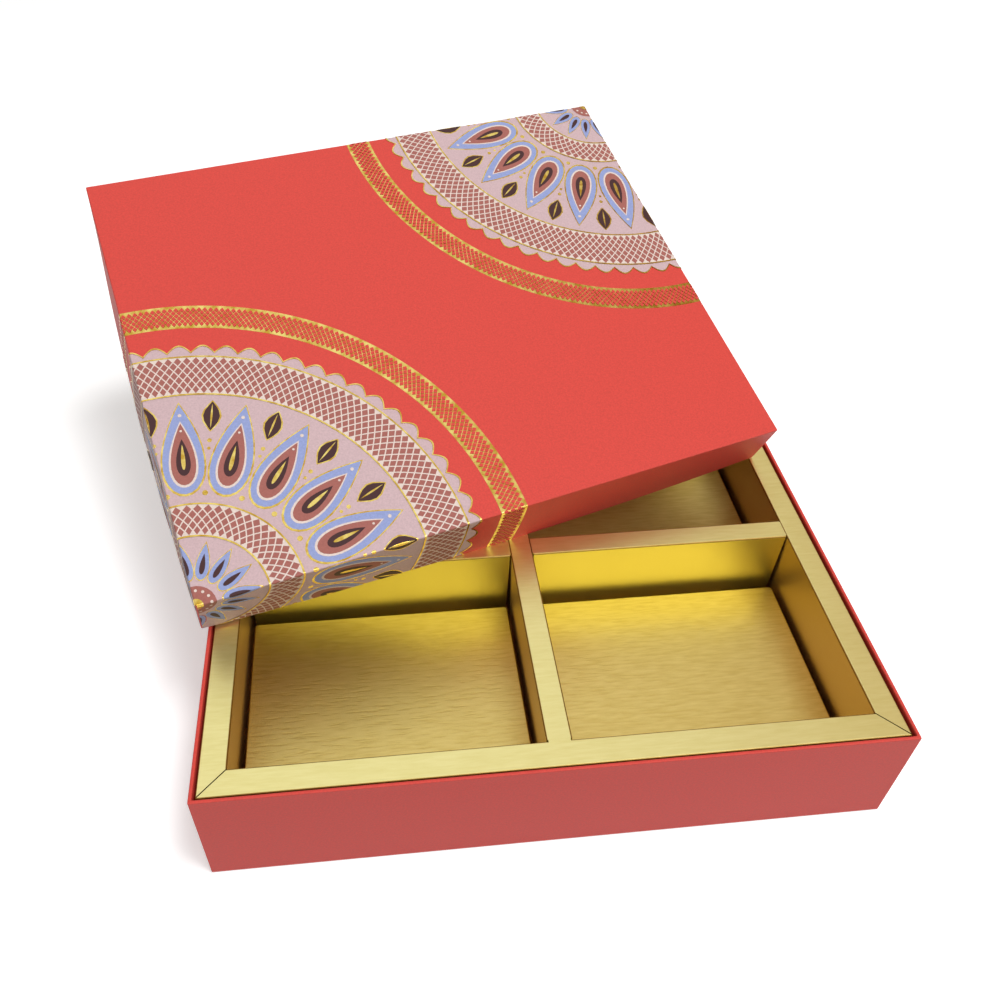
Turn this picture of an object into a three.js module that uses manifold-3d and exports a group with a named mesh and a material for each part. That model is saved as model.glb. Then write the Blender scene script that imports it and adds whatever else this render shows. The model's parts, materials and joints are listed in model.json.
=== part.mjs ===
// A rigid gift box for dried fruit: a wrapped greyboard tray, a gold card insert with four
// compartments, and a shallow lift-off lid that rests askew across the tray with its back raised.
// Millimetres, +Z up. The origin is the middle of the tray's underside, and -Y is the front.

import * as THREE from "three";
import * as BufferGeometryUtils from "three/addons/utils/BufferGeometryUtils.js";
import Module from "manifold-3d";

const wasm = await Module();
wasm.setup();

// Outside of the tray, paper included
const BASE_WIDTH = 250;
const BASE_DEPTH = 200;
const BASE_HEIGHT = 51;

// Sheet stock
const BOARD = 0.7;
const PAPER = 0.15;
const BOTTOM_SHEET = 0.3;
const STAY_TAPE = 0.12;
const CARD = 0.6;
const GLUE_LINE = 0.05;

// Wrapping paper on tray and lid
const WRAP_FOLD = 0.5;
const WRAP_CORNER = 0.8;
const LEAST_CORNER = 0.2;
const BASE_TURN_IN = 18;
const BASE_TURN_UNDER = 14;
const LID_TURN_IN = 12;
const BOTTOM_SHEET_MARGIN = 3;
const LINING_CLEARANCE = 0.3;

// Corner stays
const STAY_LEG = 16;
const STAY_END_MARGIN = 2;

// Gold card insert
const RIM_DROP = 1;
const INSERT_CLEARANCE = 0.7;
const RAIL_WIDTH = 9.7;
const DIVIDER_WIDTH = 9.2;
const CARD_FOLD = 0.9;
const MITRE_SLIT = 0.3;
const BUTT_SLIT = 0.4;
const SEAT_GAP = 0.1;

// Platforms that floor the compartments
const PLATFORM_TOP = 20;
const PLATFORM_SIDE_GAP = 0.5;
const PLATFORM_END_GAP = 2.2;
const PLATFORM_CORNER_RELIEF = 1;

// Lid, and how it lies across the tray
const LID_HEIGHT = 26.5;
const LID_FIT = 0.7;
const LID_TURN = THREE.MathUtils.degToRad(17.15);
const LID_TILT = THREE.MathUtils.degToRad(21.06);
const LID_REST_FROM_FRONT = 70;
const LID_OVERHANG = 3.2;
const LID_SEAT_GAP = 0.3;

// Segments in a fold's quarter turn and in a rounded corner seen from above
const FOLD_STEPS = 3;
const CORNER_STEPS = 3;

// Layers of a wrapped wall, from its outside inwards
const STAY_INSET = PAPER + GLUE_LINE;
const BOARD_INSET = STAY_INSET + STAY_TAPE + GLUE_LINE;
const BOARD_INNER_INSET = BOARD_INSET + BOARD;
const WALL = BOARD_INNER_INSET + GLUE_LINE + PAPER;
const LINING_INSET = BOARD_INNER_INSET + LINING_CLEARANCE;

// Boards stop where the paper round them starts to turn
const BOARD_EDGE = Math.max(PAPER + GLUE_LINE, WRAP_FOLD);
const PANEL_INSET = Math.max(BOARD_INSET, WRAP_FOLD);
const BOARD_CORNER_SLIT = GLUE_LINE + Math.max(WRAP_CORNER - BOARD_INSET, 0);
const STAY_FOLD = Math.max(WRAP_CORNER - STAY_INSET, 2 * STAY_TAPE);

// Levels in the tray, from its underside up
const BASE_WRAP_BOTTOM = BOTTOM_SHEET + GLUE_LINE;
const BASE_BOARD_BOTTOM = BASE_WRAP_BOTTOM + PAPER + GLUE_LINE;
const BASE_LINING_BOTTOM = BASE_BOARD_BOTTOM + BOARD + GLUE_LINE;
const BASE_FLOOR = BASE_LINING_BOTTOM + PAPER;
const INSERT_BOTTOM = BASE_FLOOR + SEAT_GAP;
const INSERT_TOP = BASE_HEIGHT - RIM_DROP;

// Insets from the tray's outside to the insert
const RAIL_INSET = WALL + INSERT_CLEARANCE;
const COMPARTMENT_INSET = RAIL_INSET + RAIL_WIDTH;

// The lid's outside follows the tray
const LID_WIDTH = BASE_WIDTH + 2 * (LID_FIT + WALL);
const LID_DEPTH = BASE_DEPTH + 2 * (LID_FIT + WALL);

const finishes = {
  greyboard: { color: 0x8f8a80, roughness: 0.95, metalness: 0 },
  stayTape: { color: 0xc9b48c, roughness: 0.8, metalness: 0 },
  coralPaper: { color: 0xd0483f, roughness: 0.55, metalness: 0 },
  liningPaper: { color: 0xd6b3a3, roughness: 0.8, metalness: 0 },
  goldCard: { color: 0xd4b45c, roughness: 0.35, metalness: 0.9 },
};

const box = new THREE.Group();

function addPiece(parent, name, geometry, finish) {
  const mesh = new THREE.Mesh(geometry, new THREE.MeshStandardMaterial(finishes[finish]));
  mesh.name = name;
  parent.add(mesh);
  return mesh;
}

// A line of points whose right-angle corners are rounded by a radius
function roundedLine(points, radius) {
  const line = [points[0]];
  for (let i = 1; i < points.length - 1; i++) {
    const inward = points[i].clone().sub(points[i - 1]).normalize();
    const onward = points[i + 1].clone().sub(points[i]).normalize();
    const centre = points[i].clone().addScaledVector(inward, -radius).addScaledVector(onward, radius);
    for (let step = 0; step <= FOLD_STEPS; step++) {
      const turn = (step / FOLD_STEPS) * (Math.PI / 2);
      const point = centre.clone();
      point.addScaledVector(onward, -radius * Math.cos(turn));
      point.addScaledVector(inward, radius * Math.sin(turn));
      line.push(point);
    }
  }
  line.push(points[points.length - 1]);
  return line;
}

// The same line moved to its right, for a sheet whose folds are right angles turning right
function offsetRight(points, distance) {
  return points.map((point, i) => {
    const moved = point.clone();
    for (const [from, to] of [[i - 1, i], [i, i + 1]]) {
      if (from < 0 || to >= points.length) continue;
      const along = points[to].clone().sub(points[from]).normalize();
      moved.add(new THREE.Vector2(along.y, -along.x).multiplyScalar(distance));
    }
    return moved;
  });
}

// Both faces of a folded sheet: the outside as drawn, and the inside on its right
function sheetFaces(outside, thickness, foldRadius) {
  const outer = roundedLine(outside, foldRadius);
  const inner = roundedLine(offsetRight(outside, thickness), foldRadius - thickness);
  return { outer, inner };
}

// The closed outline of a folded sheet's section
function sheetSection(outside, thickness, foldRadius) {
  const { outer, inner } = sheetFaces(outside, thickness, foldRadius);
  return [...outer, ...inner.reverse()];
}

function points(...pairs) {
  return pairs.map(([across, up]) => new THREE.Vector2(across, up));
}

// A section drawn as (inward, up), run along X and centred on it
function runAlongX(section, length) {
  const geometry = new THREE.ExtrudeGeometry(new THREE.Shape(section), {
    depth: length,
    bevelEnabled: false,
  });
  const inward = new THREE.Vector3(0, 1, 0);
  const up = new THREE.Vector3(0, 0, 1);
  const along = new THREE.Vector3(1, 0, 0);
  geometry.translate(0, 0, -length / 2);
  geometry.applyMatrix4(new THREE.Matrix4().makeBasis(inward, up, along));
  return geometry;
}

// A strip along X whose ends are mitred at 45 degrees, each cut back by a slit
function mitredStrip(section, length, slit) {
  const geometry = runAlongX(section, length);
  const position = geometry.attributes.position;
  for (let i = 0; i < position.count; i++) {
    const x = position.getX(i);
    position.setX(i, x - Math.sign(x) * (position.getY(i) + slit));
  }
  geometry.computeVertexNormals();
  return geometry;
}

// A rounded rectangle seen from above, counter-clockwise, drawn in from the outside by an inset
function rectangleLoop(width, depth, inset, z) {
  const radius = Math.max(WRAP_CORNER - inset, LEAST_CORNER);
  const reachX = width / 2 - inset - radius;
  const reachY = depth / 2 - inset - radius;
  const loop = [];
  for (let corner = 0; corner < 4; corner++) {
    const signX = corner === 0 || corner === 3 ? 1 : -1;
    const signY = corner < 2 ? 1 : -1;
    for (let step = 0; step <= CORNER_STEPS; step++) {
      const turn = (corner + step / CORNER_STEPS) * (Math.PI / 2);
      const x = signX * reachX + radius * Math.cos(turn);
      const y = signY * reachY + radius * Math.sin(turn);
      loop.push(new THREE.Vector3(x, y, z));
    }
  }
  return loop;
}

// A skin through a chain of loops, closed on itself or capped at both ends
function loftLoops(loops, capped) {
  const count = loops[0].length;
  const triangles = [];
  const bands = capped ? loops.length - 1 : loops.length;
  for (let i = 0; i < bands; i++) {
    const here = i * count;
    const next = ((i + 1) % loops.length) * count;
    for (let j = 0; j < count; j++) {
      const k = (j + 1) % count;
      triangles.push(here + j, here + k, next + k);
      triangles.push(here + j, next + k, next + j);
    }
  }
  if (capped) {
    const last = (loops.length - 1) * count;
    for (let j = 1; j < count - 1; j++) {
      triangles.push(0, j + 1, j);
      triangles.push(last, last + j, last + j + 1);
    }
  }
  const geometry = new THREE.BufferGeometry().setFromPoints(loops.flat());
  geometry.setIndex(triangles);
  geometry.computeVertexNormals();
  return geometry;
}

function toManifold(geometry) {
  const bare = geometry.clone();
  bare.deleteAttribute("normal");
  bare.deleteAttribute("uv");
  const merged = BufferGeometryUtils.mergeVertices(bare);
  const mesh = new wasm.Mesh({
    numProp: 3,
    vertProperties: new Float32Array(merged.attributes.position.array),
    triVerts: new Uint32Array(merged.index.array),
  });
  return new wasm.Manifold(mesh);
}

function fromManifold(manifold) {
  const mesh = manifold.getMesh();
  const geometry = new THREE.BufferGeometry();
  geometry.setAttribute("position", new THREE.BufferAttribute(mesh.vertProperties, 3));
  geometry.setIndex(new THREE.BufferAttribute(mesh.triVerts, 1));
  geometry.computeVertexNormals();
  return geometry;
}

// A flat sheet or board, drawn in from the outside of the tray or lid that it belongs to
function sheet(width, depth, inset, bottom, thickness) {
  const loops = [bottom, bottom + thickness].map((z) => rectangleLoop(width, depth, inset, z));
  return loftLoops(loops, true);
}

// The four sides of a rectangle: quarter turns from the front, each with its length and reach
function sides(width, depth) {
  return [
    { side: "front", turn: 0, length: width, reach: depth / 2 },
    { side: "right", turn: 1, length: depth, reach: width / 2 },
    { side: "back", turn: 2, length: width, reach: depth / 2 },
    { side: "left", turn: 3, length: depth, reach: width / 2 },
  ];
}

// Puts a strip that runs along X, drawn inwards from y = 0, against one side of a rectangle
function placeOnSide(mesh, { turn, reach }) {
  const angle = turn * (Math.PI / 2);
  mesh.rotation.z = angle;
  mesh.position.set(Math.sin(angle) * reach, -Math.cos(angle) * reach, 0);
}

// Mitred greyboard walls and the corner stays over them, shared by tray and lid
function addBoardWalls(parent, prefix, width, depth, bottom, top) {
  const section = points([0, bottom], [0, top], [BOARD, top], [BOARD, bottom]);
  for (const place of sides(width - 2 * BOARD_INSET, depth - 2 * BOARD_INSET)) {
    const strip = mitredStrip(section, place.length, BOARD_CORNER_SLIT);
    placeOnSide(addPiece(parent, `${prefix}_${place.side}_wall_board`, strip, "greyboard"), place);
  }
  const legs = points([STAY_LEG, 0], [0, 0], [0, STAY_LEG]);
  const stay = new THREE.ExtrudeGeometry(new THREE.Shape(sheetSection(legs, STAY_TAPE, STAY_FOLD)), {
    depth: top - bottom - 2 * STAY_END_MARGIN,
    bevelEnabled: false,
  });
  stay.translate(0, 0, bottom + STAY_END_MARGIN);
  const reachX = width / 2 - STAY_INSET;
  const reachY = depth / 2 - STAY_INSET;
  const corners = [
    ["front_left", -reachX, -reachY],
    ["front_right", reachX, -reachY],
    ["back_right", reachX, reachY],
    ["back_left", -reachX, reachY],
  ];
  corners.forEach(([corner, x, y], turn) => {
    const mesh = addPiece(parent, `${prefix}_${corner}_corner_stay`, stay.clone(), "stayTape");
    mesh.rotation.z = turn * (Math.PI / 2);
    mesh.position.set(x, y, 0);
  });
}

// The tray's boards, its paper and the sheets inside and under it
function addBase() {
  const base = new THREE.Group();
  box.add(base);

  const bottomBoard = sheet(BASE_WIDTH, BASE_DEPTH, PANEL_INSET, BASE_BOARD_BOTTOM, BOARD);
  addPiece(base, "base_bottom_board", bottomBoard, "greyboard");

  const wallBottom = BASE_BOARD_BOTTOM + BOARD + GLUE_LINE;
  addBoardWalls(base, "base", BASE_WIDTH, BASE_DEPTH, wallBottom, BASE_HEIGHT - BOARD_EDGE);

  const wrapLine = points(
    [BASE_TURN_UNDER, BASE_WRAP_BOTTOM],
    [0, BASE_WRAP_BOTTOM],
    [0, BASE_HEIGHT],
    [WALL, BASE_HEIGHT],
    [WALL, BASE_HEIGHT - BASE_TURN_IN],
  );
  const wrapSection = sheetSection(wrapLine, PAPER, WRAP_FOLD);
  const wrapLoops = wrapSection.map(({ x, y }) => rectangleLoop(BASE_WIDTH, BASE_DEPTH, x, y));
  addPiece(base, "base_wrap", loftLoops(wrapLoops, false), "coralPaper");

  const bottomSheet = sheet(BASE_WIDTH, BASE_DEPTH, BOTTOM_SHEET_MARGIN, 0, BOTTOM_SHEET);
  addPiece(base, "base_bottom_sheet", bottomSheet, "coralPaper");

  const lining = sheet(BASE_WIDTH, BASE_DEPTH, LINING_INSET, BASE_LINING_BOTTOM, PAPER);
  addPiece(base, "base_floor_lining", lining, "liningPaper");
}

// A channel of folded card, open below, drawn inwards from its outer leg
function channelSection(width) {
  const outside = points([0, INSERT_BOTTOM], [0, INSERT_TOP], [width, INSERT_TOP], [width, INSERT_BOTTOM]);
  return sheetSection(outside, CARD, CARD_FOLD);
}

// Four mitred rails inside the tray wall and the dividers between them
function addInsert() {
  const insert = new THREE.Group();
  box.add(insert);

  const railSection = channelSection(RAIL_WIDTH);
  for (const place of sides(BASE_WIDTH - 2 * RAIL_INSET, BASE_DEPTH - 2 * RAIL_INSET)) {
    const strip = mitredStrip(railSection, place.length, MITRE_SLIT);
    placeOnSide(addPiece(insert, `insert_${place.side}_rail`, strip, "goldCard"), place);
  }

  const dividerSection = channelSection(DIVIDER_WIDTH);
  const longLength = BASE_DEPTH - 2 * (COMPARTMENT_INSET + BUTT_SLIT);
  const long = addPiece(insert, "insert_long_divider", runAlongX(dividerSection, longLength), "goldCard");
  long.rotation.z = Math.PI / 2;
  long.position.x = DIVIDER_WIDTH / 2;

  const crossStart = DIVIDER_WIDTH / 2 + BUTT_SLIT;
  const crossEnd = BASE_WIDTH / 2 - COMPARTMENT_INSET - BUTT_SLIT;
  for (const [side, sign] of [["left", -1], ["right", 1]]) {
    const strip = runAlongX(dividerSection, crossEnd - crossStart);
    const cross = addPiece(insert, `insert_${side}_cross_divider`, strip, "goldCard");
    cross.position.set((sign * (crossStart + crossEnd)) / 2, -DIVIDER_WIDTH / 2, 0);
  }
}

// A flap channel of a platform: its top with the two flaps across one direction
function flapChannel(across, along) {
  const outside = points([0, BASE_FLOOR], [0, PLATFORM_TOP], [across, PLATFORM_TOP], [across, BASE_FLOOR]);
  const geometry = runAlongX(sheetSection(outside, CARD, CARD_FOLD), along);
  return geometry.translate(0, -across / 2, 0);
}

// Raised compartment floors, with four flaps folded down to the tray's floor
function addPlatforms() {
  const platforms = new THREE.Group();
  box.add(platforms);

  const cellWidth = BASE_WIDTH / 2 - COMPARTMENT_INSET - DIVIDER_WIDTH / 2;
  const cellDepth = BASE_DEPTH / 2 - COMPARTMENT_INSET - DIVIDER_WIDTH / 2;
  const width = cellWidth - 2 * PLATFORM_SIDE_GAP;
  const depth = cellDepth - 2 * PLATFORM_END_GAP;
  const frontAndBack = flapChannel(depth, width - 2 * PLATFORM_CORNER_RELIEF);
  const leftAndRight = flapChannel(width, depth - 2 * PLATFORM_CORNER_RELIEF).rotateZ(Math.PI / 2);
  const geometry = fromManifold(toManifold(frontAndBack).add(toManifold(leftAndRight)));

  for (const [end, signY] of [["front", -1], ["back", 1]]) {
    for (const [side, signX] of [["left", -1], ["right", 1]]) {
      const platform = addPiece(platforms, `platform_${end}_${side}`, geometry.clone(), "goldCard");
      platform.position.x = (signX * (DIVIDER_WIDTH + cellWidth)) / 2;
      platform.position.y = (signY * (DIVIDER_WIDTH + cellDepth)) / 2;
    }
  }
}

// The lid, built upright and then laid across the tray
function addLid() {
  const lid = new THREE.Group();

  const topBoardBottom = LID_HEIGHT - PAPER - GLUE_LINE - BOARD;
  const topBoard = sheet(LID_WIDTH, LID_DEPTH, PANEL_INSET, topBoardBottom, BOARD);
  addPiece(lid, "lid_top_board", topBoard, "greyboard");
  addBoardWalls(lid, "lid", LID_WIDTH, LID_DEPTH, BOARD_EDGE, topBoardBottom - GLUE_LINE);

  const wrapLine = points(
    [WALL, LID_TURN_IN],
    [WALL, 0],
    [0, 0],
    [0, LID_HEIGHT],
    [WALL, LID_HEIGHT],
  );
  const { outer, inner } = sheetFaces(wrapLine, PAPER, WRAP_FOLD);
  const wrapChain = [...inner.reverse(), ...outer];
  const wrapLoops = wrapChain.map(({ x, y }) => rectangleLoop(LID_WIDTH, LID_DEPTH, x, y));
  addPiece(lid, "lid_wrap", loftLoops(wrapLoops, true), "coralPaper");

  const liningBottom = topBoardBottom - GLUE_LINE - PAPER;
  addPiece(lid, "lid_lining", sheet(LID_WIDTH, LID_DEPTH, LINING_INSET, liningBottom, PAPER), "liningPaper");

  // Its front bottom edge lies on the left rim and, lower by the rim's drop, on the right rail
  const rimX = -BASE_WIDTH / 2 + WALL / 2;
  const railX = BASE_WIDTH / 2 - COMPARTMENT_INSET;
  const span = (railX - rimX) / Math.cos(LID_TURN);
  lid.position.set(LID_WIDTH / 2 - LID_OVERHANG, LID_DEPTH / 2, 0);
  const seat = new THREE.Group();
  seat.add(lid);
  seat.rotation.set(LID_TILT, Math.asin(RIM_DROP / span), LID_TURN, "ZYX");
  seat.position.set(rimX, -BASE_DEPTH / 2 + LID_REST_FROM_FRONT, BASE_HEIGHT + LID_SEAT_GAP);
  box.add(seat);
}

addBase();
addInsert();
addPlatforms();
addLid();

export default box;
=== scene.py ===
"""A rigid gift box for dried fruit: coral paper over board, a gold card insert and a printed lid.

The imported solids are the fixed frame, in metres. This script models the wrapping papers, the folded
gold card and the lid's print over them, and gives every piece its material, with light and camera.
"""

import json
import math
from contextlib import contextmanager

import bmesh
import bpy
import numpy as np
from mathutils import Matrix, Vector


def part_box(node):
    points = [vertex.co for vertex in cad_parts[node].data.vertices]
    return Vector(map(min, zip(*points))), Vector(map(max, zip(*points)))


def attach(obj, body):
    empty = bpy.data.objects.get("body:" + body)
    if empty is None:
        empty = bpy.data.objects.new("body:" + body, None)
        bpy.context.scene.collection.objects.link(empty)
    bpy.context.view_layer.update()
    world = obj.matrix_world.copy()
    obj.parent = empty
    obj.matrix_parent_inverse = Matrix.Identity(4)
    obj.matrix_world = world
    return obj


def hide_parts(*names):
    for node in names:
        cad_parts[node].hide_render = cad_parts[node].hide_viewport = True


MM = 0.001

# Sheet stock, and the round of its folds
PAPER = 0.15 * MM
CARD = 0.6 * MM
WALL = 1.27 * MM
PAPER_FOLD = 0.5 * MM
PAPER_FOLD_FACETS = 5
CARD_FOLD = 0.7 * MM
CARD_FOLD_FACETS = 6
SOFT_FOLD_DEGREES = 40
BASE_TURN_IN = 18 * MM
BASE_TURN_UNDER = 14 * MM
LID_TURN_IN = 12 * MM
FLAP_RELIEF = 1 * MM
LONG_TONGUE = 1 * MM
CROSS_TONGUE = 0.4 * MM

# Hand-made unevenness: how far the lid's walls bow out and the insert's walls lean under their
# top, the waves in the card, and the steps in which a panel bends
LID_BOW = 3 * MM
CARD_LEAN = 2 * MM
CARD_WAVE = 0.12 * MM
CARD_WAVE_LENGTH = 22 * MM
PANEL_STEP = 6 * MM

# Picking by place and direction: what counts as at an edge, on a flat top, on a cut and along an axis
NEAR = 1 * MM
TOP_NEAR = 0.01 * MM
CUT_NEAR = 0.001 * MM
MOSTLY = 0.5

# The print: rings round two opposite corners of the lid, by radius
INNER_TRELLIS = (27 * MM, 40 * MM)
INNER_ROWS = 5
OUTER_TRELLIS = (88 * MM, 106 * MM)
OUTER_ROWS = 7
TRELLIS_WIDTH = 3.4 * MM
TRELLIS_LINE = 0.5 * MM
SCALLOP_EDGE = 111 * MM
SCALLOP_DEPTH = 3.4 * MM
SCALLOPS = 72
FOIL_BAND = (121 * MM, 131 * MM)
BAND_ROWS = 6
BAND_WIDTH = 2.3 * MM
FOIL_LATTICE = 0.3 * MM
FOIL_LINE = 0.7 * MM
INK_LAYER = 0.025 * MM
INK_FILM = 0.015 * MM
FOLD_CUTS = 4

# Its petals, rays and leaves, by length, width and middle radius, and its dots, by size and radius
LOTUS_PETALS = 20
PETAL_OUTLINE = (41.4 * MM, 17 * MM, 64 * MM)
PETAL_RIM = (39.4 * MM, 15.6 * MM, 64 * MM)
PETAL_GROUND = (29 * MM, 11 * MM, 61.5 * MM)
PETAL_BODY = (27 * MM, 9.4 * MM, 61.5 * MM)
PETAL_HEART = (16 * MM, 5.4 * MM, 60 * MM)
PETAL_VEIN = (11 * MM, 1.6 * MM, 60 * MM)
PETAL_DOTS = ((0.75 * MM, 78.5 * MM), (0.5 * MM, 71.5 * MM))
GAP_DOTS = ((1.1 * MM, 44.5 * MM), (0.9 * MM, 67 * MM), (0.7 * MM, 63.5 * MM))
LEAF_OUTLINE = (14.4 * MM, 7.9 * MM, 78 * MM)
LEAF_BODY = (13 * MM, 6.5 * MM, 78 * MM)
LEAF_VEIN = (11 * MM, 0.8 * MM, 78 * MM)
SUN_RAYS = 16
RAY_OUTLINE = (15.4 * MM, 5.4 * MM, 17.2 * MM)
RAY_BODY = (14 * MM, 4.8 * MM, 17 * MM)
RAY_HEART = (8 * MM, 2 * MM, 16 * MM)
SUN_DISC = 7.6 * MM
SUN_HEART = 2.8 * MM
SUN_DOT = (0.55 * MM, 5.8 * MM)
SUN_DOTS = 14

# How wide a drop's curve gets at most, and how much of a leaf's width goes towards its ends
DROP_SWELL = 0.77
LEAF_PINCH = 0.75

# The pale floor, in metres, and how much of its white is its own
FLOOR_SIZE = 8
FLOOR_GAP = 0.05 * MM
FLOOR_LIFT = 0.4

# The white room: how much it adds to the lamps, and the parts of a direction to the side and to the
# back between which its warm sides set in
ROOM_LIGHT = 0.35
ROOM_TURN = 0.08
ROOM_SIDES = (0.36, 0.58)
ROOM_BACK = (-0.2, 0.2)

# Softboxes, in metres and watts
FRONT_SOFTBOX = {"place": (0.7, -1.2, 1.93), "size": 1.2, "power": 16}
KEY_SOFTBOX = {"place": (0.575, -0.345, 2.2), "size": 0.6, "power": 27}

# The photograph's camera
CAMERA_PLACE = (-56.2 * MM, -254.2 * MM, 343.6 * MM)
CAMERA_TURN = (49.47, -0.46, -5.61)
CAMERA_LENS = 33.44
CAMERA_SHIFT = (0.0485, -0.086)
CAMERA_NEAR = 10 * MM

# Where most of a noise's values lie, and the share of ink on the tops of a paper's fibres
NOISE_SPAN = {"From Min": 0.3, "From Max": 0.7}
THIN_INK = 0.84

FULL_TURN = 2 * math.pi

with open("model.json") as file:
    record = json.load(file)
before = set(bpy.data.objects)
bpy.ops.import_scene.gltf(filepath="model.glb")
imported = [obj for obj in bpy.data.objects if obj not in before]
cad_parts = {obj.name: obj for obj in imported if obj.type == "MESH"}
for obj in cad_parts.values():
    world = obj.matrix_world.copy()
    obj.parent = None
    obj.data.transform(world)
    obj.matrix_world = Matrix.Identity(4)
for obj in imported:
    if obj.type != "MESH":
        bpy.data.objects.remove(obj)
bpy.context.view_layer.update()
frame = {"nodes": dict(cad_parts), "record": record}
nodes = frame["nodes"]
body_of = {}
for body, members in frame["record"]["behaviour"]["bodies"].items():
    for member in members:
        body_of[member] = body


# Materials


def linear(hex_colour):
    """An sRGB hex colour as linear RGBA."""
    channels = [int(hex_colour[i : i + 2], 16) / 255 for i in (1, 3, 5)]
    return [c / 12.92 if c <= 0.04045 else ((c + 0.055) / 1.055) ** 2.4 for c in channels] + [1]


def set_inputs(tree, node, inputs):
    """Sets a node's inputs, each to a value or to the output that feeds it."""
    for name, value in inputs.items():
        if isinstance(value, bpy.types.NodeSocket):
            tree.links.new(value, node.inputs[name])
        else:
            node.inputs[name].default_value = value


def add_node(tree, kind, inputs=None, output=0, **settings):
    """Adds a node with its settings and links, and returns one of its outputs."""
    node = tree.nodes.new(kind)
    for name, value in settings.items():
        setattr(node, name, value)
    set_inputs(tree, node, inputs or {})
    return node.outputs[output]


def new_material(name):
    """A material, its node tree, its shader and the coordinates of the piece that wears it."""
    material = bpy.data.materials.new(name)
    material.use_nodes = True
    tree = material.node_tree
    place = add_node(tree, "ShaderNodeTexCoord", output="Object")
    return material, tree, tree.nodes["Principled BSDF"], place


def laminated_paper(name, colour):
    """Art paper printed in one colour under a matt film: the ink lies a little thin on the tops of the
    fibres, drawn 0.7 mm apart to show, and the film leaves a broad dull sheen."""
    material, tree, surface, place = new_material(name)
    fibres = add_node(tree, "ShaderNodeTexNoise", {"Vector": place, "Scale": 1 / (0.7 * MM), "Detail": 3})
    ink = add_node(tree, "ShaderNodeMapRange", {"Value": fibres, **NOISE_SPAN})
    full = linear(colour)
    thin = [THIN_INK * channel for channel in full[:3]] + [1]
    tint = add_node(tree, "ShaderNodeMix", {0: ink, 6: thin, 7: full}, output=2, data_type="RGBA")
    gloss = {"Value": fibres, **NOISE_SPAN, "To Min": 0.5, "To Max": 0.58}
    roughness = add_node(tree, "ShaderNodeMapRange", gloss)
    normal = add_node(tree, "ShaderNodeBump", {"Height": fibres, "Distance": 0.02 * MM})
    looks = {"Base Color": tint, "Roughness": roughness, "Normal": normal, "Specular IOR Level": 0.35}
    set_inputs(tree, surface, looks)
    return material


def gold_card(name, walls, tops, crease, gloss):
    """Metallised board: gold film on card, with short shallow creases that the rollers left along X, 8 mm
    long and 1.1 mm apart, a fine grain of fibres under the film, drawn 0.4 mm apart to show, and slow
    waves because folded card never lies flat. Its colour holds painted light: walls that face left and
    right are tinted redder as a painted reflection, the folds are painted dark as painted shade, and the
    tops are painted paler as a painted highlight, paler still along the creases."""
    material, tree, surface, place = new_material(name)
    long_creases = [1 / (8 * MM), 1 / (1.1 * MM), 1 / (1.1 * MM)]
    stretched = add_node(tree, "ShaderNodeMapping", {"Vector": place, "Scale": long_creases})
    creases = add_node(tree, "ShaderNodeTexNoise", {"Vector": stretched, "Scale": 1, "Detail": 2})
    dips = add_node(tree, "ShaderNodeMapRange", {"Value": creases, "From Min": 0.3, "From Max": 0.5})
    grain = add_node(tree, "ShaderNodeTexNoise", {"Vector": place, "Scale": 1 / (0.4 * MM), "Detail": 2})
    waves = add_node(tree, "ShaderNodeTexNoise", {"Vector": place, "Scale": 1 / (28 * MM), "Detail": 1})
    normal = add_node(tree, "ShaderNodeBump", {"Height": waves, "Distance": 0.3 * MM})
    normal = add_node(tree, "ShaderNodeBump", {"Height": dips, "Distance": crease, "Normal": normal})
    normal = add_node(tree, "ShaderNodeBump", {"Height": grain, "Distance": 0.012 * MM, "Normal": normal})
    facing = add_node(tree, "ShaderNodeNewGeometry", output="Normal")
    rightward = add_node(tree, "ShaderNodeSeparateXYZ", {"Vector": facing}, output="X")
    sideways = add_node(tree, "ShaderNodeMath", {0: rightward}, operation="ABSOLUTE")
    # Painted reflection: walls that face left and right take the second, redder wall colour.
    colours = {0: sideways, 6: linear(walls[0]), 7: linear(walls[1])}
    wall_tint_painted_reflection = add_node(tree, "ShaderNodeMix", colours, output=2, data_type="RGBA")
    upward = add_node(tree, "ShaderNodeSeparateXYZ", {"Vector": facing}, output="Z")
    folded = add_node(tree, "ShaderNodeMapRange", {"Value": upward, "From Min": 0.15, "From Max": 0.3})
    # Painted shade: where a fold turns between wall and top, the film is painted dark brown gold.
    colours = {0: folded, 6: wall_tint_painted_reflection, 7: linear("#A08040")}
    walls_and_painted_fold_shade = add_node(tree, "ShaderNodeMix", colours, output=2, data_type="RGBA")
    # Painted highlight: tops take the paler top colours, palest along the creases.
    crease_paling = add_node(tree, "ShaderNodeMapRange", {"Value": creases, **NOISE_SPAN})
    colours = {0: crease_paling, 6: linear(tops[0]), 7: linear(tops[1])}
    painted_highlight_tops = add_node(tree, "ShaderNodeMix", colours, output=2, data_type="RGBA")
    level = add_node(tree, "ShaderNodeMapRange", {"Value": upward, "From Min": 0.9, "From Max": 0.99})
    colours = {0: level, 6: walls_and_painted_fold_shade, 7: painted_highlight_tops}
    tint = add_node(tree, "ShaderNodeMix", colours, output=2, data_type="RGBA")
    shine = {"Value": grain, **NOISE_SPAN, "To Min": gloss[0], "To Max": gloss[1]}
    roughness = add_node(tree, "ShaderNodeMapRange", shine)
    looks = {"Base Color": tint, "Metallic": 1.0, "Roughness": roughness, "Normal": normal}
    set_inputs(tree, surface, looks)
    return material


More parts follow.
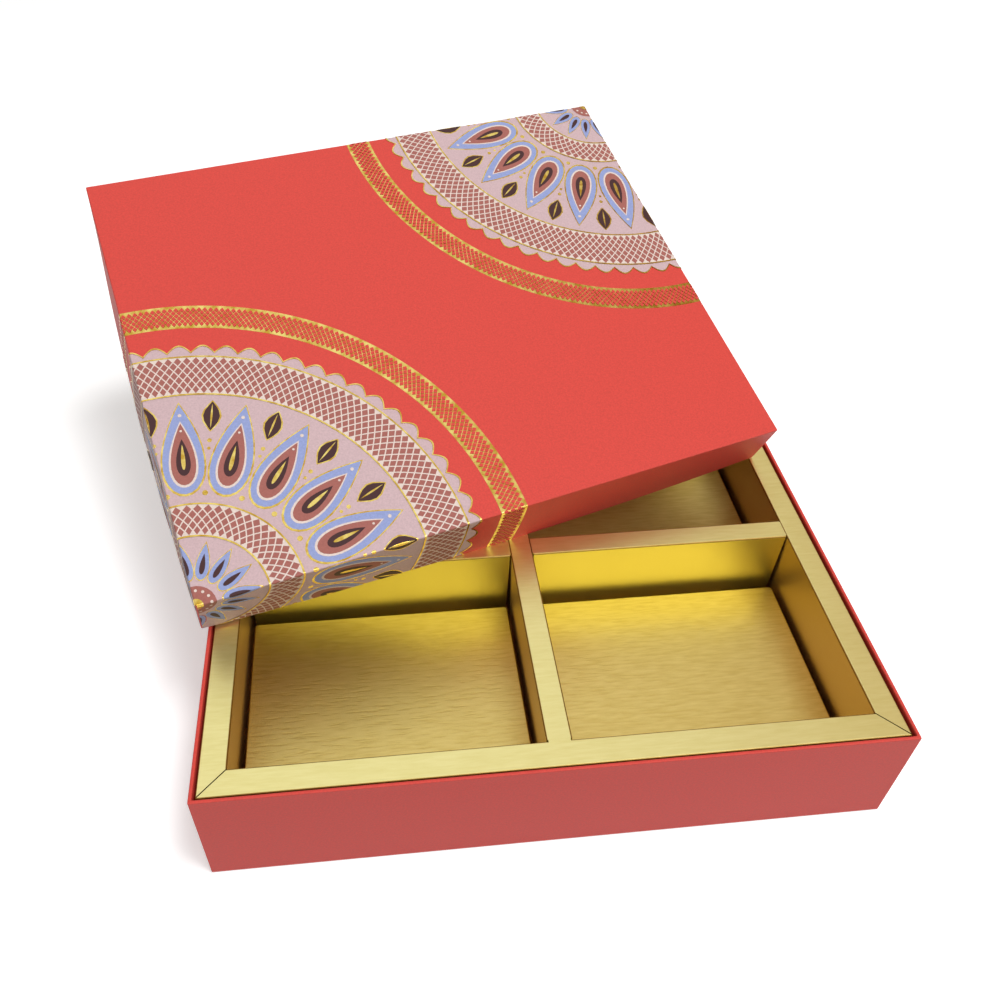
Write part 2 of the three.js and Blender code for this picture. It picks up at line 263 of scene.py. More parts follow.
def hot_foil():
    """Gold hot-stamping foil: a mirror-like film pressed on the paper. It follows the fibres, so its
    bumps break its shine up every few millimetres, and its colour holds painted glints: pale patches
    among darker olive ones."""
    material, tree, surface, place = new_material("gold_hot_foil")
    patches = add_node(tree, "ShaderNodeTexNoise", {"Vector": place, "Scale": 1 / (3.5 * MM), "Detail": 3})
    shine = add_node(tree, "ShaderNodeMapRange", {"Value": patches, "From Min": 0.35, "From Max": 0.65})
    # Painted glints: patches a few millimetres across painted pale, the rest darker olive.
    colours = {0: shine, 6: linear("#C8A03C"), 7: linear("#F2DA80")}
    tint = add_node(tree, "ShaderNodeMix", colours, output=2, data_type="RGBA")
    normal = add_node(tree, "ShaderNodeBump", {"Height": patches, "Distance": 0.12 * MM})
    looks = {"Base Color": tint, "Metallic": 1.0, "Roughness": 0.22, "Normal": normal}
    set_inputs(tree, surface, looks)
    return material


def greyboard():
    """Recycled chipboard: matt grey, with darker and lighter fibre flecks about 1 mm long."""
    material, tree, surface, place = new_material("recycled_greyboard")
    flecks = add_node(tree, "ShaderNodeTexNoise", {"Vector": place, "Scale": 1 / (1.1 * MM), "Detail": 5})
    share = add_node(tree, "ShaderNodeMapRange", {"Value": flecks, **NOISE_SPAN})
    colours = {0: share, 6: linear("#7C766B"), 7: linear("#A39C8F")}
    tint = add_node(tree, "ShaderNodeMix", colours, output=2, data_type="RGBA")
    normal = add_node(tree, "ShaderNodeBump", {"Height": flecks, "Distance": 0.05 * MM})
    set_inputs(tree, surface, {"Base Color": tint, "Roughness": 0.92, "Normal": normal})
    return material


def kraft_tape():
    """Gummed kraft tape: brown paper whose fibres are drawn out upright, along the tape."""
    material, tree, surface, place = new_material("gummed_kraft_tape")
    upright = [1 / (0.4 * MM), 1 / (0.4 * MM), 1 / (5 * MM)]
    stretched = add_node(tree, "ShaderNodeMapping", {"Vector": place, "Scale": upright})
    fibres = add_node(tree, "ShaderNodeTexNoise", {"Vector": stretched, "Scale": 1, "Detail": 4})
    share = add_node(tree, "ShaderNodeMapRange", {"Value": fibres, **NOISE_SPAN})
    colours = {0: share, 6: linear("#B79768"), 7: linear("#CFB488")}
    tint = add_node(tree, "ShaderNodeMix", colours, output=2, data_type="RGBA")
    normal = add_node(tree, "ShaderNodeBump", {"Height": fibres, "Distance": 0.02 * MM})
    set_inputs(tree, surface, {"Base Color": tint, "Roughness": 0.75, "Normal": normal})
    return material


def lining_paper():
    """Uncoated blush paper: matt, with the soft clouds of its pulp 6 mm across and a fibre tooth."""
    material, tree, surface, place = new_material("uncoated_lining_paper")
    pulp = add_node(tree, "ShaderNodeTexNoise", {"Vector": place, "Scale": 1 / (6 * MM), "Detail": 5})
    share = add_node(tree, "ShaderNodeMapRange", {"Value": pulp, **NOISE_SPAN})
    colours = {0: share, 6: linear("#E6B09A"), 7: linear("#EEBDA8")}
    tint = add_node(tree, "ShaderNodeMix", colours, output=2, data_type="RGBA")
    tooth = add_node(tree, "ShaderNodeTexNoise", {"Vector": place, "Scale": 1 / (0.4 * MM), "Detail": 3})
    normal = add_node(tree, "ShaderNodeBump", {"Height": tooth, "Distance": 0.02 * MM})
    set_inputs(tree, surface, {"Base Color": tint, "Roughness": 0.85, "Normal": normal})
    return material


# Modelling by hand


@contextmanager
def edit_mode(piece, select="FACE"):
    """Edit mode on one piece alone, with nothing in it selected."""
    bpy.ops.object.select_all(action="DESELECT")
    piece.select_set(True)
    bpy.context.view_layer.objects.active = piece
    bpy.ops.object.mode_set(mode="EDIT")
    bpy.ops.mesh.select_mode(type=select)
    bpy.ops.mesh.select_all(action="DESELECT")
    yield
    bpy.ops.object.mode_set(mode="OBJECT")


def select_faces(piece, test):
    """Selects the faces whose centre and normal pass a test."""
    mesh = bmesh.from_edit_mesh(piece.data)
    mesh.normal_update()
    bpy.ops.mesh.select_mode(type="FACE")
    for face in mesh.faces:
        face.select_set(test(face.calc_center_median(), face.normal))
    bmesh.update_edit_mesh(piece.data)


def select_edges(piece, test):
    """Selects the edges whose middle and direction pass a test."""
    mesh = bmesh.from_edit_mesh(piece.data)
    bpy.ops.mesh.select_mode(type="EDGE")
    bpy.ops.mesh.select_all(action="DESELECT")
    for edge in mesh.edges:
        first, second = (corner.co for corner in edge.verts)
        if test((first + second) / 2, (second - first).normalized()):
            edge.select_set(True)
    bmesh.update_edit_mesh(piece.data)


def on_axis(axis, distance):
    """A point or a direction on X, Y or Z."""
    return Vector([distance if i == axis else 0 for i in range(3)])


def cut(at, normal, clear=False, fill=False):
    """Cuts the whole mesh on a plane. What lies on the normal's side is cleared, and the cut filled, if
    asked."""
    bpy.ops.mesh.select_all(action="SELECT")
    bpy.ops.mesh.bisect(
        plane_co=at, plane_no=normal, clear_outer=clear, use_fill=fill, threshold=CUT_NEAR
    )


def cut_in_steps(low, high, axis):
    """Even cuts across an axis, so that a long panel can bend."""
    length = high[axis] - low[axis]
    count = max(2, round(length / PANEL_STEP))
    for i in range(1, count):
        cut(on_axis(axis, low[axis] + length * i / count), on_axis(axis, 1))


def mitre_ends(low, high, axis, fill=False):
    """Cuts both ends of a strip at 45 degrees, the side away from the middle of the box left long."""
    across = 1 - axis
    outer = low[across] if low[across] + high[across] < 0 else high[across]
    inward = on_axis(across, -math.copysign(1, outer))
    for end, outward in ((low[axis], -1), (high[axis], 1)):
        corner = on_axis(axis, end) + on_axis(across, outer)
        cut(corner, on_axis(axis, outward) + inward, clear=True, fill=fill)


def new_box(name, low, high, material):
    """A block that fills a box, to be opened and folded into a piece."""
    bpy.ops.object.select_all(action="DESELECT")
    low, high = Vector(low), Vector(high)
    bpy.ops.mesh.primitive_cube_add(size=1, location=(low + high) / 2, scale=high - low)
    bpy.ops.object.transform_apply(location=True, rotation=True, scale=True)
    piece = bpy.context.object
    piece.name = name
    piece.data.name = name
    piece.data.materials.append(material)
    return piece


def finish_with(piece, kind, **settings):
    """Adds a modifier and applies it."""
    bpy.context.view_layer.objects.active = piece
    modifier = piece.modifiers.new(kind.title(), kind)
    for name, value in settings.items():
        setattr(modifier, name, value)
    bpy.ops.object.modifier_apply(modifier=modifier.name)


def smooth_folds(piece):
    """Soft folds between flat panels that stay flat."""
    bpy.ops.object.select_all(action="DESELECT")
    piece.select_set(True)
    bpy.context.view_layer.objects.active = piece
    bpy.ops.object.shade_smooth_by_angle(angle=math.radians(SOFT_FOLD_DEGREES))
    finish_with(piece, "WEIGHTED_NORMAL", keep_sharp=True, weight=100)


def thicken(piece, thickness):
    """A folded sheet gets its thickness, on its inner side, and soft folds."""
    finish_with(piece, "SOLIDIFY", thickness=thickness, offset=-1, use_even_offset=True)
    smooth_folds(piece)


def points_of(piece):
    """The vertices of a piece, one row each."""
    flat = np.empty(3 * len(piece.data.vertices))
    piece.data.vertices.foreach_get("co", flat)
    return flat.reshape(-1, 3)


def move_points(piece, points):
    """Puts a piece's vertices in new places."""
    piece.data.vertices.foreach_set("co", points.ravel())
    piece.data.update()


def dress(piece, node):
    """Lets a piece stand for a solid and move with it."""
    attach(piece, body_of[node])
    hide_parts(node)


# Gold card


def card_waves():
    """Slow clouds for card that isn't quite flat."""
    texture = bpy.data.textures.new("card_waves", "CLOUDS")
    texture.noise_scale = CARD_WAVE_LENGTH
    return texture


def stiffen(piece, waves):
    """Folded card gets its waves and its thickness."""
    finish_with(piece, "DISPLACE", texture=waves, strength=CARD_WAVE, texture_coords="GLOBAL")
    thicken(piece, CARD)


def card_channel(node, axis, mitred, waves, gold):
    """A strip of card along X or Y with both long edges folded down. Rails are mitred at their ends, and
    the dividers' tops run out in tongues that lie on their neighbours' folds."""
    low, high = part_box(node)
    piece = new_box(f"{node}_card", low, high, gold)

    def is_open_side(centre, normal):
        return normal.z < -MOSTLY or abs(normal[axis]) > MOSTLY

    def is_fold(middle, along):
        return middle.z > high.z - NEAR and abs(along[axis]) > MOSTLY

    with edit_mode(piece):
        select_faces(piece, is_open_side)
        bpy.ops.mesh.delete(type="FACE")
        select_edges(piece, is_fold)
        bpy.ops.mesh.bevel(offset=CARD_FOLD, segments=CARD_FOLD_FACETS)
        cut_in_steps(low, high, axis)
        cut_in_steps(low, high, 2)
    lean_walls(piece, low, high, 1 - axis, mitred)
    with edit_mode(piece):
        if mitred:
            mitre_ends(low, high, axis)
        else:
            draw_out_tongues(piece, low, high, axis)
    stiffen(piece, waves)
    return piece


def draw_out_tongues(piece, low, high, axis):
    """Draws out both ends of a channel's flat top."""
    length = (CROSS_TONGUE, LONG_TONGUE)[axis]

    def is_end(middle, along, end):
        on_top = middle.z > high.z - TOP_NEAR and abs(along[axis]) < MOSTLY
        return on_top and abs(middle[axis] - end) < NEAR

    for end, outward in ((low[axis], -1), (high[axis], 1)):
        select_edges(piece, lambda middle, along: is_end(middle, along, end))
        tongue = on_axis(axis, outward * length)
        bpy.ops.mesh.extrude_region_move(TRANSFORM_OT_translate={"value": tongue})


def lean_walls(piece, low, high, across, mitred):
    """Leans a channel's walls in under its top, apart from a rail's outer wall against the tray."""
    points = points_of(piece)
    middle = (low[across] + high[across]) / 2
    side = np.sign(points[:, across] - middle)
    if mitred:
        side[side == math.copysign(1, middle)] = 0
    depth = (high.z - points[:, 2]) / (high.z - low.z)
    points[:, across] -= side * CARD_LEAN * depth
    move_points(piece, points)


def platform(node, waves, gold):
    """A raised floor: a sheet of card with four flaps folded down and its corners cut out."""
    low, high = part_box(node)
    piece = new_box(f"{node}_card", low, high, gold)
    with edit_mode(piece):
        select_faces(piece, lambda centre, normal: normal.z < -MOSTLY)
        bpy.ops.mesh.delete(type="FACE")
        select_edges(piece, lambda middle, along: middle.z > high.z - NEAR)
        bpy.ops.mesh.bevel(offset=CARD_FOLD, segments=CARD_FOLD_FACETS)
        relief = Vector((FLAP_RELIEF, FLAP_RELIEF, 0))
        inner_low, inner_high = low + relief, high - relief
        for axis in (0, 1):
            cut_in_steps(low, high, axis)
            for at in (inner_low[axis], inner_high[axis]):
                cut(on_axis(axis, at), on_axis(axis, 1))

        def in_corner(centre, normal):
            return all(not inner_low[i] < centre[i] < inner_high[i] for i in (0, 1))

        select_faces(piece, in_corner)
        bpy.ops.mesh.delete(type="FACE")
    stiffen(piece, waves)
    return piece


def make_gold_card():
    """The insert's rails and dividers, and the four platforms."""
    # Wall colours facing front and back, then left and right, the second redder as a painted reflection;
    # top colours paler as a painted highlight.
    walls, tops = ("#DED46E", "#DEBB7C"), ("#EDE39A", "#F4EBA6")
    gold = gold_card("metallised_gold_card", walls, tops, 0.004 * MM, (0.4, 0.48))
    # The platforms: a darker copy of the gold, painted shade for their place down in the recesses, and with
    # deeper creases.
    walls, tops = ("#DCC262", "#DEBB7C"), ("#DDC573", "#EAD485")
    shaded_creased_gold = gold_card("metallised_shaded_creased_gold_card", walls, tops, 0.026 * MM, (0.38, 0.46))
    waves = card_waves()
    channels = [(f"insert_{side}_rail", 0, True) for side in ("front", "back")]
    channels += [(f"insert_{side}_rail", 1, True) for side in ("left", "right")]
    channels += [(f"insert_{side}_cross_divider", 0, False) for side in ("left", "right")]
    channels.append(("insert_long_divider", 1, False))
    for node, axis, mitred in channels:
        dress(card_channel(node, axis, mitred, waves, gold), node)
    for end in ("front", "back"):
        for side in ("left", "right"):
            node = f"platform_{end}_{side}"
            dress(platform(node, waves, shaded_creased_gold), node)
    return gold


# Wrapping papers


def extrude_loop(shrink=(0, 0), size=(1, 1), down=0.0):
    """Extrudes the selected edge loop inwards by a distance each way, or down."""
    bpy.ops.mesh.extrude_region_move(TRANSFORM_OT_translate={"value": (0, 0, -down)})
    factors = [1 - 2 * inward / across for inward, across in zip(shrink, size)]
    bpy.ops.transform.resize(value=(*factors, 1), center_override=(0, 0, 0))


def base_paper(coral):
    """The tray's wrap: round the walls, over the rim to the inside, and under the bottom."""
    low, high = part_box("base_wrap")
    size = high - low
    piece = new_box("base_paper", low, high, coral)
    with edit_mode(piece):
        select_faces(piece, lambda centre, normal: abs(normal.z) > MOSTLY)
        bpy.ops.mesh.delete(type="ONLY_FACE")
        select_edges(piece, lambda middle, along: middle.z > high.z - NEAR)
        extrude_loop((WALL, WALL), size.xy)
        extrude_loop(down=BASE_TURN_IN)
        select_edges(piece, lambda middle, along: middle.z < low.z + NEAR)
        extrude_loop((BASE_TURN_UNDER, BASE_TURN_UNDER), size.xy)
        bpy.ops.mesh.select_all(action="SELECT")
        bpy.ops.mesh.normals_make_consistent(inside=False)

        def is_fold(middle, along):
            upright = abs(along.z) > MOSTLY
            at_rim = middle.z > high.z - NEAR
            outside = abs(middle.x) > high.x - NEAR or abs(middle.y) > high.y - NEAR
            at_foot = middle.z < low.z + NEAR and outside
            return upright or at_rim or at_foot

        select_edges(piece, is_fold)
        bpy.ops.mesh.bevel(offset=PAPER_FOLD, segments=PAPER_FOLD_FACETS)
    thicken(piece, PAPER)
    return piece


class Lid:
    """The lid's own axes and outside size, read from the tilted solids."""

    def __init__(self):
        board = np.unique(np.round(points_of(nodes["lid_top_board"]), 6), axis=0)
        long, _, up = np.linalg.svd(board - board.mean(axis=0), full_matrices=False)[2]
        long = long * np.sign(long[0])
        up = up * np.sign(up[2])
        self.axes = np.array([long, np.cross(up, long), up])
        wrap = points_of(nodes["lid_wrap"]) @ self.axes.T
        self.size = wrap.max(axis=0) - wrap.min(axis=0)
        middle = (wrap.max(axis=0) + wrap.min(axis=0)) / 2
        self.origin = self.axes.T @ (middle - [0, 0, self.size[2] / 2])
        self.half = self.size[:2] / 2

    def box(self, node):
        """A node's lowest and highest corners in the lid's own axes."""
        points = (points_of(nodes[node]) - self.origin) @ self.axes.T
        return Vector(points.min(axis=0)), Vector(points.max(axis=0))

    def bow(self, points):
        """Walls that spread outwards at the middle of their free edge."""
        bowed = points.copy()
        free = 1 - np.clip(points[:, 2] / self.size[2], 0, 1)
        for axis in (0, 1):
            on_wall = np.abs(points[:, axis]) > self.half[axis] - 2 * WALL
            along = 1 - np.clip(points[:, 1 - axis] / self.half[1 - axis], -1, 1) ** 2
            bowed[:, axis] += np.sign(points[:, axis]) * on_wall * LID_BOW * along * free
        return bowed

    def set_down(self, piece):
        """Bows a piece made on the upright lid, and lays it where the lid lies."""
        points = self.bow(points_of(piece))
        move_points(piece, points @ self.axes + self.origin)


def lid_paper(lid, coral):
    """The lid's wrap: over the top, down the walls and turned in at the bottom edge."""
    low = Vector((*-lid.half, 0))
    high = Vector((*lid.half, lid.size[2]))
    size = high - low
    piece = new_box("lid_paper", low, high, coral)
    with edit_mode(piece):
        select_faces(piece, lambda centre, normal: normal.z < -MOSTLY)
        bpy.ops.mesh.delete(type="ONLY_FACE")
        select_edges(piece, lambda middle, along: middle.z < low.z + NEAR)
        extrude_loop((WALL, WALL), size.xy)
        extrude_loop(down=-LID_TURN_IN)
        bpy.ops.mesh.select_all(action="SELECT")
        bpy.ops.mesh.normals_make_consistent(inside=False)

        def is_fold(middle, along):
            at_edge = middle.z < low.z + NEAR or middle.z > high.z - NEAR
            return abs(along.z) > MOSTLY or at_edge

        select_edges(piece, is_fold)
        bpy.ops.mesh.bevel(offset=PAPER_FOLD, segments=PAPER_FOLD_FACETS)
        for axis in (0, 1):
            cut_in_steps(low, high, axis)
    lid.set_down(piece)
    thicken(piece, PAPER)
    return piece


def lid_wall_board(lid, node, axis, board):
    """A wall board of the lid along X or Y, mitred at its ends and bowed with the paper."""
    low, high = lid.box(node)
    piece = new_box(f"{node}_bowed", low, high, board)
    with edit_mode(piece):
        cut_in_steps(low, high, axis)
        mitre_ends(low, high, axis, fill=True)
    lid.set_down(piece)
    return piece


# The lid's print: drawn flat round a corner, cut to the paper and folded over its edges


def add_disc(radius, at=0.0, sides=24):
    """A round dot or disc at a distance along X."""
    bpy.ops.mesh.select_all(action="DESELECT")
    place = (at, 0, 0)
    bpy.ops.mesh.primitive_circle_add(vertices=sides, radius=radius, fill_type="NGON", location=place)


def add_ring(inner, outer, sides=180):
    """A flat ring round the corner."""
    bpy.ops.mesh.select_all(action="DESELECT")
    bpy.ops.mesh.primitive_circle_add(vertices=sides, radius=inner)
    bpy.ops.mesh.extrude_region_move()
    bpy.ops.transform.resize(value=(outer / inner, outer / inner, 1), center_override=(0, 0, 0))


def reshape_selected(shape):
    """Moves each selected point to where a shape puts it."""
    mesh = bmesh.from_edit_mesh(bpy.context.object.data)
    for corner in mesh.verts:
        if corner.select:
            corner.co.xy = shape(corner.co.x, corner.co.y)
    bmesh.update_edit_mesh(bpy.context.object.data)


def add_drop(length, width, at, sides=28):
    """A petal that is round towards the corner and drawn out to a point away from it."""
    add_disc(1 * MM, at, sides)

    def drop(x, y):
        turn = math.atan2(y, x - at)
        swell = math.sin(turn) * abs(math.sin(turn / 2))
        return at + math.cos(turn) * length / 2, swell / DROP_SWELL * width / 2

    reshape_selected(drop)


def add_leaf(length, width, at, sides=16):
    """An oval with both ends drawn out to points."""
    add_disc(1 * MM, at, sides)

    def leaf(x, y):
        along = (x - at) / MM
        return at + along * length / 2, y / MM * (1 - LEAF_PINCH * along**2) * width / 2

    reshape_selected(leaf)


def add_scallops(radius, depth, lobes):
    """An edge line round the corner, as a row of round lobes that meet in cusps."""
    bpy.ops.mesh.select_all(action="DESELECT")
    bpy.ops.mesh.primitive_circle_add(vertices=8 * lobes, radius=radius)

    def lobe(x, y):
        cusp = 1 - abs(math.cos(lobes * math.atan2(y, x) / 2))
        shrink = 1 - cusp * depth / radius
        return x * shrink, y * shrink

    reshape_selected(lobe)


def repeat_round(copies, lag=0.0):
    """Repeats the selected shape round the corner, the first copy a share of a step on."""
    step = FULL_TURN / copies
    bpy.ops.transform.rotate(value=lag * step, orient_axis="Z", center_override=(0, 0, 0))
    bpy.ops.mesh.spin(
        steps=copies - 1, dupli=True, angle=FULL_TURN - step, center=(0, 0, 0), axis=(0, 0, 1)
    )


def draw_diamonds(ring, rows, width, line):
    """Rows of diamonds between two radii, a line's width apart, each row half a step on from the last."""
    half_length = (ring[1] - ring[0]) / (rows + 1)
    copies = round(math.pi * sum(ring) / width)
    for row in range(rows):
        radius = ring[0] + half_length * (row + 1)
        half_width = math.pi * radius / copies
        half_height = half_length * half_width / math.hypot(half_length, half_width)
        inset = 1 - line / 2 / half_height
        add_disc(1, radius, sides=4)
        size = (inset * half_length, inset * half_width, 1)
        bpy.ops.transform.resize(value=size, center_override=(radius, 0, 0))
        repeat_round(copies, lag=row % 2 / 2)


def draw_petals(length, width, middle):
    """The ring of lotus petals, half a step from the lid's edges."""
    add_drop(length, width, middle)
    repeat_round(LOTUS_PETALS, lag=0.5)


def draw_rays(length, width, middle):
    """The ring of small petals round the corner's sun."""
    add_drop(length, width, middle)
    repeat_round(SUN_RAYS)


def draw_leaves(length, width, middle):
    """The leaves between the petals."""
    add_leaf(length, width, middle)
    repeat_round(LOTUS_PETALS)


def draw_dots(radius, middle, copies, lag=0.0):
    """A ring of dots."""
    add_disc(radius, middle, sides=14)
    repeat_round(copies, lag)


def draw_mauve_ground():
    """The fan's scalloped ground."""
    add_scallops(SCALLOP_EDGE, SCALLOP_DEPTH, SCALLOPS)
    bpy.ops.mesh.edge_face_add()


def draw_cream():
    """The grounds of the trellises, and of the petals inside their rims."""
    add_ring(*INNER_TRELLIS)
    add_ring(*OUTER_TRELLIS)
    draw_petals(*PETAL_GROUND)


def draw_rose():
    """The trellises' diamonds, the petals and the sun."""
    for ring, rows in ((INNER_TRELLIS, INNER_ROWS), (OUTER_TRELLIS, OUTER_ROWS)):
        draw_diamonds(ring, rows, TRELLIS_WIDTH, TRELLIS_LINE)
    draw_petals(*PETAL_BODY)
    add_disc(SUN_DISC)


def draw_periwinkle():
    """The petals' rims, and the rays."""
    draw_petals(*PETAL_RIM)
    draw_rays(*RAY_BODY)


def draw_brown():
    """The hearts of petals and rays, and the leaves."""
    draw_petals(*PETAL_HEART)
    draw_rays(*RAY_HEART)
    draw_leaves(*LEAF_BODY)


def draw_cream_dots():
    """Dots on the sun and towards the petals' tips."""
    draw_dots(*SUN_DOT, SUN_DOTS)
    for dot in PETAL_DOTS:
        draw_dots(*dot, LOTUS_PETALS, lag=0.5)


def draw_foil_edges():
    """Fine lines along the trellises and the scallops."""
    for radius in (*INNER_TRELLIS, *OUTER_TRELLIS):
        add_ring(radius - FOIL_LINE / 2, radius + FOIL_LINE / 2)
    add_scallops(SCALLOP_EDGE, SCALLOP_DEPTH, SCALLOPS)
    grown = 1 + FOIL_LINE / SCALLOP_EDGE
    bpy.ops.mesh.extrude_region_move()
    bpy.ops.transform.resize(value=(grown, grown, 1), center_override=(0, 0, 0))


def draw_foil_outlines():
    """Outlines of petals, rays and leaves, and dots in the gaps between petals."""
    draw_petals(*PETAL_OUTLINE)
    draw_rays(*RAY_OUTLINE)
    draw_leaves(*LEAF_OUTLINE)
    for dot in GAP_DOTS:
        draw_dots(*dot, LOTUS_PETALS)


def draw_foil_veins():
    """The sun's heart, and veins in petals and leaves."""
    add_disc(SUN_HEART)
    draw_petals(*PETAL_VEIN)
    draw_leaves(*LEAF_VEIN)


def draw_foil_band():
    """The broad band round the fan."""
    add_ring(FOIL_BAND[0] - FOIL_LINE, FOIL_BAND[1] + FOIL_LINE)


def draw_band_windows():
    """The gaps of the band's lattice, in the paper's own colour."""
    draw_diamonds(FOIL_BAND, BAND_ROWS, BAND_WIDTH, FOIL_LATTICE)


def cut_to_paper(piece, lid, fold_start, fold_length, reach):
    """Cuts a flat print along the lid's folds, in steps where the walls bow, and at the paper's edges."""
    for axis in (0, 1):
        cut_in_steps(-lid.half, lid.half, axis)
        for side in (-1, 1):
            outward = on_axis(axis, side)
            for i in range(FOLD_CUTS + 1):
                cut(outward * (fold_start[axis] + fold_length * i / FOLD_CUTS), outward)
            cut(outward * reach[axis], outward, clear=True)
    select_faces(piece, lambda centre, normal: all(abs(centre[i]) > fold_start[i] for i in (0, 1)))
    bpy.ops.mesh.delete(type="FACE")
    select_faces(piece, lambda centre, normal: normal.z < 0)
    bpy.ops.mesh.flip_normals()


def fold_over(points, lid, fold_start, height):
    """Bends a flat print down over the lid's edges, at a height over the paper."""
    folded = points.copy()
    folded[:, 2] = lid.size[2] + height
    for axis in (0, 1):
        past = np.abs(points[:, axis]) - fold_start[axis]
        beyond = past > 0
        turn = np.clip(past / PAPER_FOLD, 0, math.pi / 2)
        drop = np.clip(past - PAPER_FOLD * math.pi / 2, 0, None)
        out = fold_start[axis] + (PAPER_FOLD + height) * np.sin(turn)
        low = lid.size[2] - PAPER_FOLD + (PAPER_FOLD + height) * np.cos(turn) - drop
        folded[beyond, axis] = (np.sign(points[:, axis]) * out)[beyond]
        folded[beyond, 2] = low[beyond]
    return folded


def print_on_lid(lid, name, draw, layer, material):
    """One ink or foil of the print, at two opposite corners of the lid."""
    piece = bpy.data.objects.new(name, bpy.data.meshes.new(name))
    bpy.context.scene.collection.objects.link(piece)
    piece.data.materials.append(material)
    fold_length = PAPER_FOLD * math.pi / 2
    fold_start = lid.half - PAPER_FOLD
    corner = fold_start + fold_length / 2
    reach = fold_start + fold_length + lid.size[2] - 2 * PAPER_FOLD
    with edit_mode(piece, select="EDGE"):
        draw()
        bpy.ops.mesh.select_all(action="SELECT")
        bpy.ops.transform.translate(value=(-corner[0], -corner[1], 0))
        bpy.ops.mesh.spin(steps=1, dupli=True, angle=math.pi, center=(0, 0, 0), axis=(0, 0, 1))
        cut_to_paper(piece, lid, fold_start, fold_length, reach)
    move_points(piece, fold_over(points_of(piece), lid, fold_start, layer * INK_LAYER))
    lid.set_down(piece)
    finish_with(piece, "SOLIDIFY", thickness=INK_FILM, offset=-1)
    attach(piece, "lid")


def print_the_lid(lid, coral):
    """The lid's inks and foils, each a little higher than what it is printed over."""
    mauve = laminated_paper("mauve_print", "#D3B6B9")
    rose = laminated_paper("dusty_rose_print", "#A9685F")
    cream = laminated_paper("cream_print", "#EAD8CE")
    periwinkle = laminated_paper("periwinkle_print", "#9AA6D6")
    brown = laminated_paper("brown_print", "#44282A")
    foil = hot_foil()
    inks = [
        ("print_mauve_ground", draw_mauve_ground, mauve),
        ("foil_band", draw_foil_band, foil),
        ("foil_petal_outlines", draw_foil_outlines, foil),
        ("print_periwinkle_petals", draw_periwinkle, periwinkle),
        ("print_cream_grounds", draw_cream, cream),
        ("print_rose_trellis", draw_rose, rose),
        ("print_brown_leaves", draw_brown, brown),
        ("print_band_windows", draw_band_windows, coral),
        ("print_cream_dots", draw_cream_dots, cream),
        ("foil_edges", draw_foil_edges, foil),
        ("foil_veins", draw_foil_veins, foil),
    ]
    for layer, (name, draw, material) in enumerate(inks, start=1):
        print_on_lid(lid, name, draw, layer, material)


def make_papers(board):
    """The tray's and lid's wraps, the lid's bowed boards and its print."""
    coral = laminated_paper("coral_laminated_paper", "#DC4D44")
    dress(base_paper(coral), "base_wrap")
    lid = Lid()
    dress(lid_paper(lid, coral), "lid_wrap")
    for axis, sides in enumerate((("front", "back"), ("left", "right"))):
        for side in sides:
            node = f"lid_{side}_wall_board"
            dress(lid_wall_board(lid, node, axis, board), node)
    print_the_lid(lid, coral)
    return coral


def dress_solids(board, coral, gold):
    """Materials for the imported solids, of which the boards, stays, linings and bottom sheet are shown."""
    materials = {
        "greyboard": board,
        "stay_tape": kraft_tape(),
        "coral_paper": coral,
        "printed_paper": coral,
        "lining_paper": lining_paper(),
        "gold_card": gold,
    }
    for subpart in frame["record"]["subparts"]:
        solid = nodes[subpart["node"]].data
        solid.materials.clear()
        solid.materials.append(materials[subpart["material_slot"]])


# Stage, light and camera


def seen_ray(tree):
    """1 for a ray by which the camera sees a thing, directly or in gloss or glass, and 0 for the rest."""
    kinds = ("Is Camera Ray", "Is Glossy Ray", "Is Transmission Ray")
    camera, glossy, through = [add_node(tree, "ShaderNodeLightPath", output=kind) for kind in kinds]
    either = add_node(tree, "ShaderNodeMath", {0: camera, 1: glossy}, operation="MAXIMUM")
    return add_node(tree, "ShaderNodeMath", {0: either, 1: through}, operation="MAXIMUM")


def make_floor():
    """A pale floor that shows white and keeps the box's shadow."""
    bpy.ops.object.select_all(action="DESELECT")
    bpy.ops.mesh.primitive_plane_add(size=FLOOR_SIZE, location=(0, 0, -FLOOR_GAP))
    floor = bpy.context.object
    floor.name = "studio_floor"
    material = bpy.data.materials.new("white_studio_paper")
    material.use_nodes = True
    tree = material.node_tree
    tree.nodes.remove(tree.nodes["Principled BSDF"])
    seen = seen_ray(tree)
    shades = {0: seen, 6: linear("#B0B0B0"), 7: linear("#F6F6F6")}
    shade = add_node(tree, "ShaderNodeMix", shades, output=2, data_type="RGBA")
    paper = add_node(tree, "ShaderNodeBsdfDiffuse", {"Color": shade})
    lift = add_node(tree, "ShaderNodeMath", {0: seen, 1: FLOOR_LIFT}, operation="MULTIPLY")
    white = add_node(tree, "ShaderNodeEmission", {"Strength": lift})
    both = add_node(tree, "ShaderNodeAddShader", {0: paper, 1: white})
    tree.links.new(both, tree.nodes["Material Output"].inputs["Surface"])
    floor.data.materials.append(material)


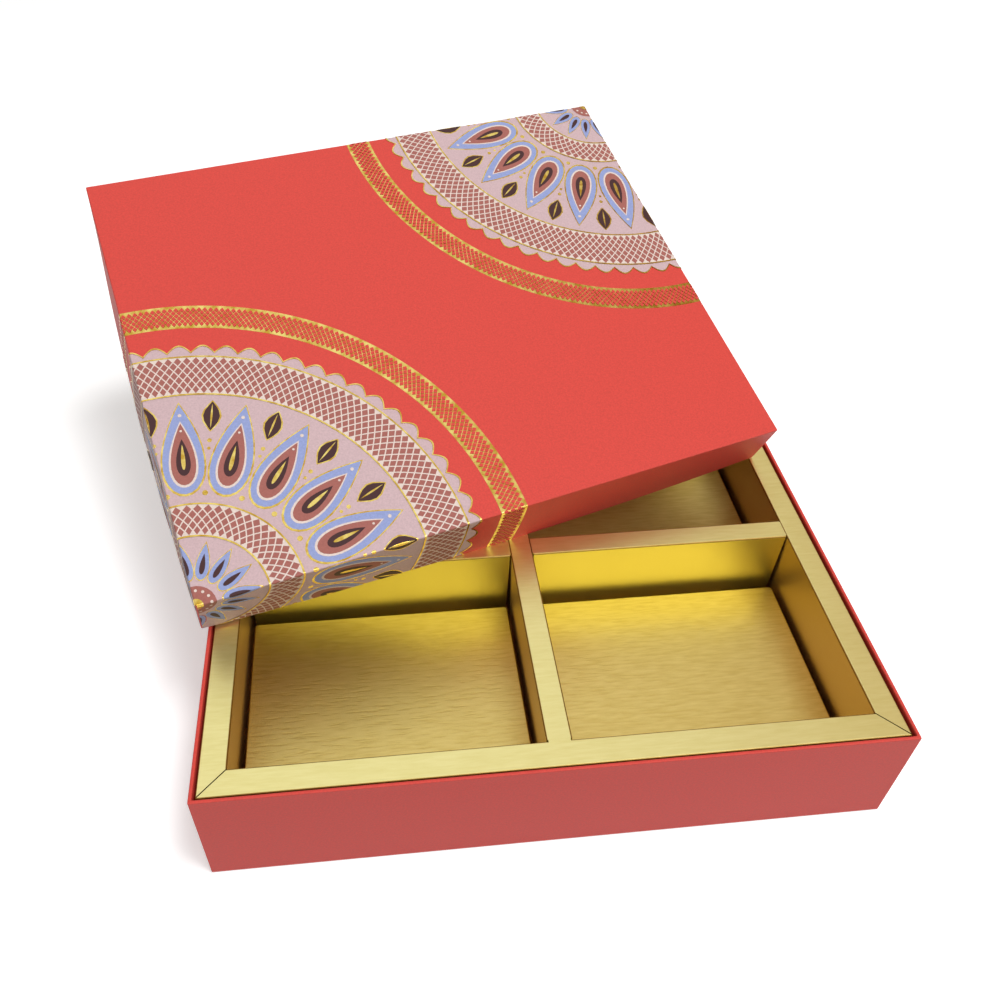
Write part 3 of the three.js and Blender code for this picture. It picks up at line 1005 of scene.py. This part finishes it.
def make_room():
    """A white room with warm sides at the back, which show in the gold and not straight to the camera."""
    world = bpy.data.worlds.new("white_room")
    bpy.context.scene.world = world
    world.use_nodes = True
    tree = world.node_tree
    towards = add_node(tree, "ShaderNodeTexCoord", output="Generated")
    rightward = add_node(tree, "ShaderNodeSeparateXYZ", {"Vector": towards}, output="X")
    turned = add_node(tree, "ShaderNodeMath", {0: rightward, 1: ROOM_TURN}, operation="ADD")
    sideways = add_node(tree, "ShaderNodeMath", {0: turned}, operation="ABSOLUTE")
    backward = add_node(tree, "ShaderNodeSeparateXYZ", {"Vector": towards}, output="Y")
    in_view = add_node(tree, "ShaderNodeLightPath", output="Is Camera Ray")
    unseen = add_node(tree, "ShaderNodeMath", {0: 1.0, 1: in_view}, operation="SUBTRACT")
    depth = {"Value": backward, "From Min": ROOM_BACK[0], "From Max": ROOM_BACK[1], "To Max": unseen}
    behind = add_node(tree, "ShaderNodeMapRange", depth)
    reach = {"Value": sideways, "From Min": ROOM_SIDES[0], "From Max": ROOM_SIDES[1], "To Max": behind}
    warmth = add_node(tree, "ShaderNodeMapRange", reach)
    walls = {0: warmth, 6: linear("#FFFFFF"), 7: linear("#A67A36")}
    colour = add_node(tree, "ShaderNodeMix", walls, output=2, data_type="RGBA")
    light = {"Value": seen_ray(tree), "To Min": ROOM_LIGHT}
    strength = add_node(tree, "ShaderNodeMapRange", light)
    set_inputs(tree, tree.nodes["Background"], {"Color": colour, "Strength": strength})


def add_softbox(name, place, size, power):
    """A square lamp that faces the box."""
    lamp = bpy.data.lights.new(name, "AREA")
    lamp.size = size
    lamp.energy = power
    softbox = bpy.data.objects.new(name, lamp)
    bpy.context.scene.collection.objects.link(softbox)
    softbox.location = place
    softbox.rotation_euler = Vector(place).to_track_quat("Z", "Y").to_euler()
    return softbox


def make_light():
    """A wide softbox in front, which the gold's walls and folds catch, and a key that they don't show."""
    add_softbox("front_softbox", **FRONT_SOFTBOX)
    key = add_softbox("key_softbox", **KEY_SOFTBOX)
    key.visible_glossy = False


def make_camera():
    """The photograph's camera."""
    camera = bpy.data.objects.new("camera", bpy.data.cameras.new("camera"))
    bpy.context.scene.collection.objects.link(camera)
    camera.location = CAMERA_PLACE
    camera.rotation_euler = [math.radians(angle) for angle in CAMERA_TURN]
    camera.data.lens = CAMERA_LENS
    camera.data.shift_x, camera.data.shift_y = CAMERA_SHIFT
    camera.data.clip_start = CAMERA_NEAR
    bpy.context.scene.camera = camera
    bpy.context.scene.view_settings.view_transform = "Standard"


board_material = greyboard()
gold_material = make_gold_card()
coral_material = make_papers(board_material)
dress_solids(board_material, coral_material, gold_material)
make_floor()
make_room()
make_light()
make_camera()
